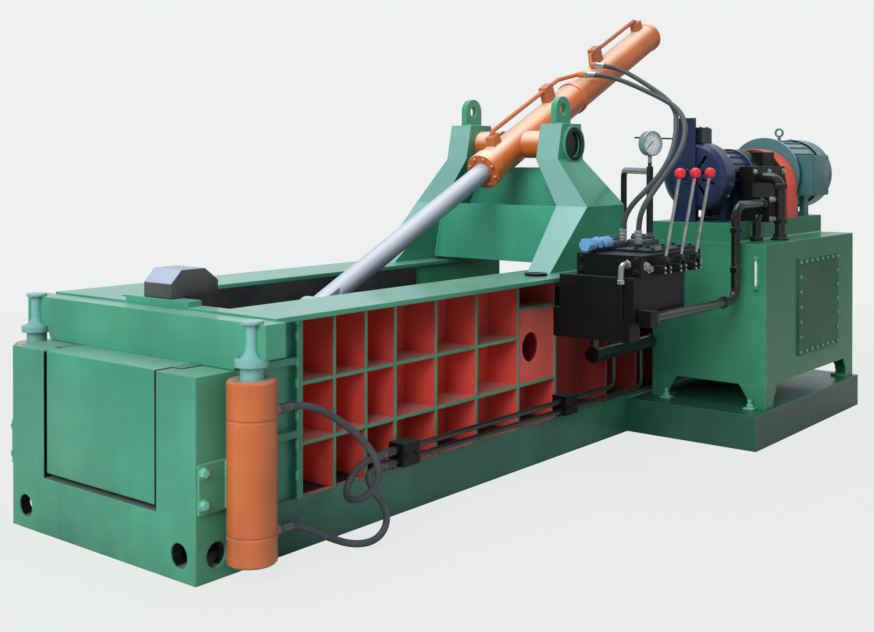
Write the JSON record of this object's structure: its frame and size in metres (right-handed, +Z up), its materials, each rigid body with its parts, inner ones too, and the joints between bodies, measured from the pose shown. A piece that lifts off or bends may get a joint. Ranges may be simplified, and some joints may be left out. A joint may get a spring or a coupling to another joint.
{
  "type": "scrap metal baler",
  "caption": "Hydraulic scrap baler: ribbed press box with lifting end gate, hinged lid under an inclined cylinder, rear ram, and side power unit with tank, motors and valve levers.",
  "frame": {"origin": "centre of the bed's underside, on the floor", "axes": "+X along the bed from the gate to the rear, +Y to the far side away from the power unit, +Z up"},
  "size_m": [4.2, 1.809, 2.0828],
  "materials": {
    "green_paint": "semi-gloss enamel, scuffed",
    "wear_steel": "bare plate, darkened",
    "orange_paint": "primer orange enamel",
    "guard_orange": "enamel",
    "navy_paint": "enamel",
    "teal_paint": "enamel",
    "cowl_paint": "enamel",
    "black_paint": "satin black",
    "valve_paint": "satin black",
    "bright_steel": "ground and plated",
    "lever_finish": "moulded knob on a bare rod",
    "blue_paint": "enamel",
    "bronze": "cast and turned",
    "gauge_case": "black case with a pale dial",
    "needle_black": "matt",
    "level_glass": "clear tube in a bracket",
    "hose_rubber": "smooth cover"
  },
  "bodies": {
    "bed": {"base_frame": "green_paint", "chamber_floor": "wear_steel", "coupling_guard": "guard_orange", "cover_bolts": "green_paint", "cylinder_mount": "green_paint", "end_frame": "green_paint", "fan_covers": "cowl_paint", "front_beam": "green_paint", "front_motor": "navy_paint", "gate_cylinder_far": "orange_paint", "gate_cylinder_near": "orange_paint", "gate_hose_lower": "hose_rubber", "gate_hose_upper": "hose_rubber", "hose_plate": "navy_paint", "level_gauge": "level_glass", "lid_hinge_pin": "bright_steel", "lid_hose_a": "hose_rubber", "lid_hose_b": "hose_rubber", "lifting_eyes": "green_paint", "motor_platform": "green_paint", "oil_tank": "green_paint", "press_cylinder": "orange_paint", "pressure_gauge": "gauge_case", "pump_housing": "black_paint", "pump_pipes": "black_paint", "rear_motor": "teal_paint", "relief_valve": "blue_paint", "return_pipe": "black_paint", "side_wall_far": "green_paint", "side_wall_near": "green_paint", "tank_cover": "green_paint", "tank_legs": "green_paint", "tank_plinth": "green_paint", "terminal_boxes": "cowl_paint", "tower_far": "green_paint", "tower_near": "green_paint", "tower_ties": "green_paint", "trunnion_bushes": "bronze", "tube_clamps": "black_paint", "valve_block": "valve_paint", "valve_pipes": "black_paint", "valve_stand": "black_paint", "wall_tubes": "black_paint", "wear_plates": "wear_steel"},
    "gate": {"gate_plate": "green_paint", "crosshead": "green_paint", "gate_rods": "green_paint"},
    "lid": {"lid": "green_paint"},
    "lid_barrel": {"lid_barrel": "orange_paint", "lid_pipes": "orange_paint"},
    "lid_rod": {"lid_rod": "bright_steel"},
    "press": {"press_head": "green_paint", "press_rod": "bright_steel"},
    "lever_1": {"lever_1": "lever_finish"},
    "lever_2": {"lever_2": "lever_finish"},
    "lever_3": {"lever_3": "lever_finish"},
    "front_rotor": {"front_rotor": "bright_steel"},
    "rear_rotor": {"rear_rotor": "bright_steel"},
    "gauge_needle": {"gauge_needle": "needle_black"},
    "relief_knob": {"relief_knob": "blue_paint"}
  },
  "joints": [
    {"name": "gate_lift", "type": "slide", "parent": "bed", "child": "gate", "axis": [0, 0, 1], "range_m": [0, 0.4]},
    {"name": "lid_hinge", "type": "hinge", "parent": "bed", "child": "lid", "pos_m": [0.02, 0, 0.6], "axis": [0, 1, 0], "range_deg": [0, 45]},
    {"name": "lid_barrel_tilt", "type": "hinge", "parent": "bed", "child": "lid_barrel", "pos_m": [0.3, 0, 1.366], "axis": [0, 1, 0], "range_deg": [0, 30.5], "deforming": ["lid_hose_a", "lid_hose_b"]},
    {"name": "lid_rod_slide", "type": "slide", "parent": "lid_barrel", "child": "lid_rod", "axis": [0.901, 0, 0.4338], "range_m": [0, 0.535]},
    {"name": "press_stroke", "type": "slide", "parent": "bed", "child": "press", "axis": [-1, 0, 0], "range_m": [0, 1.65]},
    {"name": "lever_1_tilt", "type": "hinge", "parent": "bed", "child": "lever_1", "pos_m": [-0.11, -1.025, 0.885], "axis": [1, 0, 0], "range_deg": [-15, 15], "stiffness_Nm_per_rad": 40},
    {"name": "lever_2_tilt", "type": "hinge", "parent": "bed", "child": "lever_2", "pos_m": [0.025, -1.025, 0.885], "axis": [1, 0, 0], "range_deg": [-15, 15], "stiffness_Nm_per_rad": 40},
    {"name": "lever_3_tilt", "type": "hinge", "parent": "bed", "child": "lever_3", "pos_m": [0.16, -1.025, 0.885], "axis": [1, 0, 0], "range_deg": [-15, 15], "stiffness_Nm_per_rad": 40},
    {"name": "front_rotor_spin", "type": "hinge", "parent": "bed", "child": "front_rotor", "pos_m": [0.9, -0.75, 1.214], "axis": [1, 0, 0], "continuous": true},
    {"name": "rear_rotor_spin", "type": "hinge", "parent": "bed", "child": "rear_rotor", "pos_m": [1.6, -0.75, 1.214], "axis": [1, 0, 0], "continuous": true},
    {"name": "gauge_needle_turn", "type": "hinge", "parent": "bed", "child": "gauge_needle", "pos_m": [0.245, -0.762, 1.365], "axis": [0.342, 0.9397, 0], "range_deg": [0, 270]},
    {"name": "relief_knob_turn", "type": "hinge", "parent": "bed", "child": "relief_knob", "pos_m": [-0.262, -0.752, 0.944], "axis": [1, 0, 0], "range_deg": [-180, 180]}
  ],
  "couplings": [
    {"joint": "lid_barrel_tilt", "follows": "lid_hinge", "ratio": 0.6688},
    {"joint": "lid_rod_slide", "follows": "lid_hinge", "m_per_rad": 0.6733}
  ]
}
